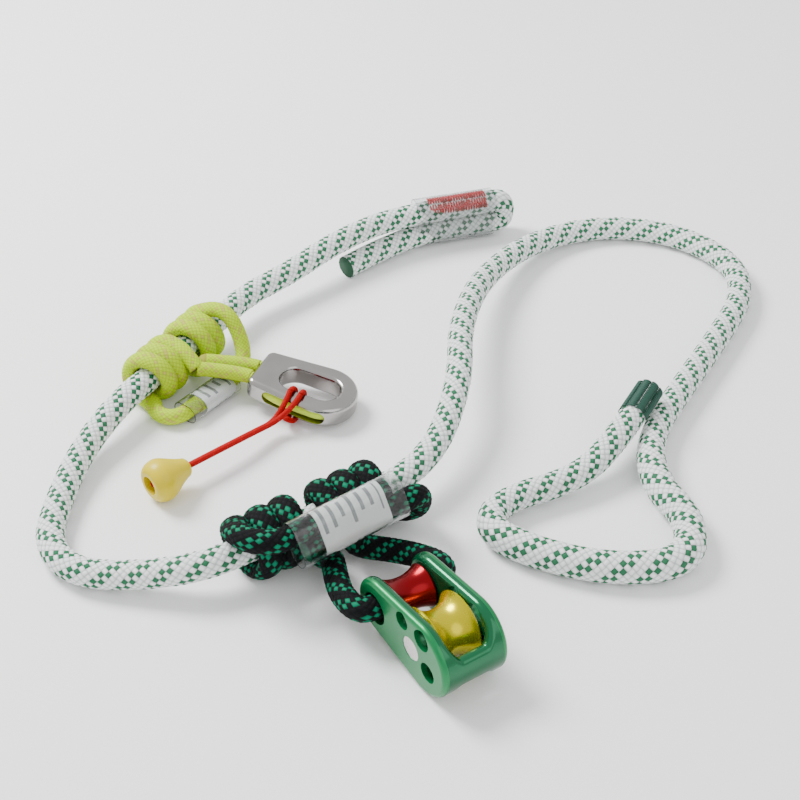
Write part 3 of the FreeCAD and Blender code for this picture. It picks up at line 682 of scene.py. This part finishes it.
def cheekPaint():
    # satin outer faces; on the rim and inside the channel the metal is more polished, and its colour is
    # darkened there as painted shade
    paint = Paint("greenAnodised", metallic=0.6, coat=0.2, coatRoughness=0.08)
    across = Val(paint, paint.make("ShaderNodeSeparateXYZ", {}, [
        paint.turned(pulleyFrame)]).socket.node.outputs[1])
    inner = across.calc("ABSOLUTE") < 0.0131
    grain = paint.noise(paint.coords(), 900.0, 4.0)
    wide = paint.noise(paint.coords(), 70.0, 3.0)
    outer = paint.blend(wide, (0.0, 0.2, 0.055), (0.0, 0.15, 0.042))
    # painted shade: the green is darker between the cheeks, in the channel
    color = paint.blend(inner, outer, (0.0, 0.11, 0.038))
    paint.feed("Base Color", color)
    paint.feed("Roughness", 0.34 + 0.1 * grain - 0.2 * inner)
    paint.bump(grain, 0.1, 0.0002)
    return paint.material


def dressCad():
    paintNode("pulley_body", cheekPaint())
    paintNode("sheave", metalPaint("yellowAnodised", (0.6, 0.5, 0.0), (0.48, 0.42, 0.0),
                                   0.75, 0.2, 500.0))
    paintNode("sling_bobbin", metalPaint("redAnodised", (0.24, 0.0, 0.004), (0.15, 0.0, 0.003),
                                         0.8, 0.16, 500.0))
    paintNode("thimble_ring", metalPaint("polishedSteel", (0.42, 0.4, 0.39), (0.3, 0.29, 0.28),
                                         1.0, 0.12, 260.0))
    steel = metalPaint("pinSteel", (0.72, 0.66, 0.66), (0.6, 0.55, 0.55), 1.0, 0.22, 500.0)
    for name in ("axle_pin", "axle_cap", "bearing_inner_race", "bearing_outer_race",
                 "axle_spacer_left", "axle_spacer_right", "bearing_balls"):
        paintNode(name, steel)
    cone = Paint("yellowPlastic", coat=0.1, coatRoughness=0.2, specular=0.25)
    swirl = cone.noise(cone.coords(), 120.0, 3.0)
    cone.feed("Base Color", cone.blend(swirl, (0.58, 0.45, 0.0), (0.64, 0.5, 0.0)))
    cone.feed("Roughness", 0.3 + 0.15 * swirl)
    cone.bump(swirl, 0.15, 0.0004)
    paintNode("retrieval_cone", cone.material)
    clear = sleevePaint()
    for name in ("stopper_sleeve", "adjuster_sleeve", "sling_sleeve"):
        paintNode(name, clear)
    cordInside = Paint("cordInRing", sheen=0.3, roughness=0.7)
    knit = cordInside.noise(cordInside.coords(), 700.0, 3.0)
    cordInside.feed("Base Color", cordInside.blend(knit, (0.6, 0.8, 0.01), (0.42, 0.6, 0.01)))
    cordInside.bump(knit, 0.5, 0.0004)
    paintNode("thimble_cord", cordInside.material)
    smallFrom = inFrame(hitchFrame, -5, 28.5, 5.3, 14.7)
    smallTo = inFrame(hitchFrame, 26.5, 24.3, 5.3, 14.7)
    paintNode("adjuster_label", labelPaint("hitchLabel", place(smallFrom, smallTo - smallFrom),
                                           0.028, (0.0, 0.3, 0.17)))
    wideFrom = inFrame(slingFrame, 22, 21.5, 28.5, 16.2)
    wideTo = inFrame(slingFrame, -31, 21, 31, 16.2)
    paintNode("sling_label", labelPaint("slingLabel", place(wideFrom, wideTo - wideFrom),
                                        0.05, (0.83, 0.84, 0.83)))
    print("finishes done")


makeCamera()
bpy.ops.object.select_all(action="DESELECT")
bpy.ops.mesh.primitive_plane_add(size=6, location=(0, 0, -0.0002))
floor = bpy.context.object
floor.name = "floor"
floorPaint = Paint("paleFloor", roughness=0.6, specular=0.2)
floorPaint.shader.inputs["Base Color"].default_value = (studio["floor"],) * 3 + (1,)
floor.data.materials.append(floorPaint.material)
world = bpy.data.worlds.new("studio")
world.use_nodes = True
world.node_tree.nodes["Background"].inputs[0].default_value = (1, 1, 1, 1)
world.node_tree.nodes["Background"].inputs[1].default_value = studio["world"]
bpy.context.scene.world = world
areaLight("keyLight", (-0.75, 0.45, 1.0), 0.6, studio["key"])
areaLight("fillLight", (0.7, -0.9, 0.9), 1.2, studio["fill"])

buildRope()
buildTail()
buildHitch()
buildLegs()
buildRedCord()
buildSling()
buildSewing()
dressCad()
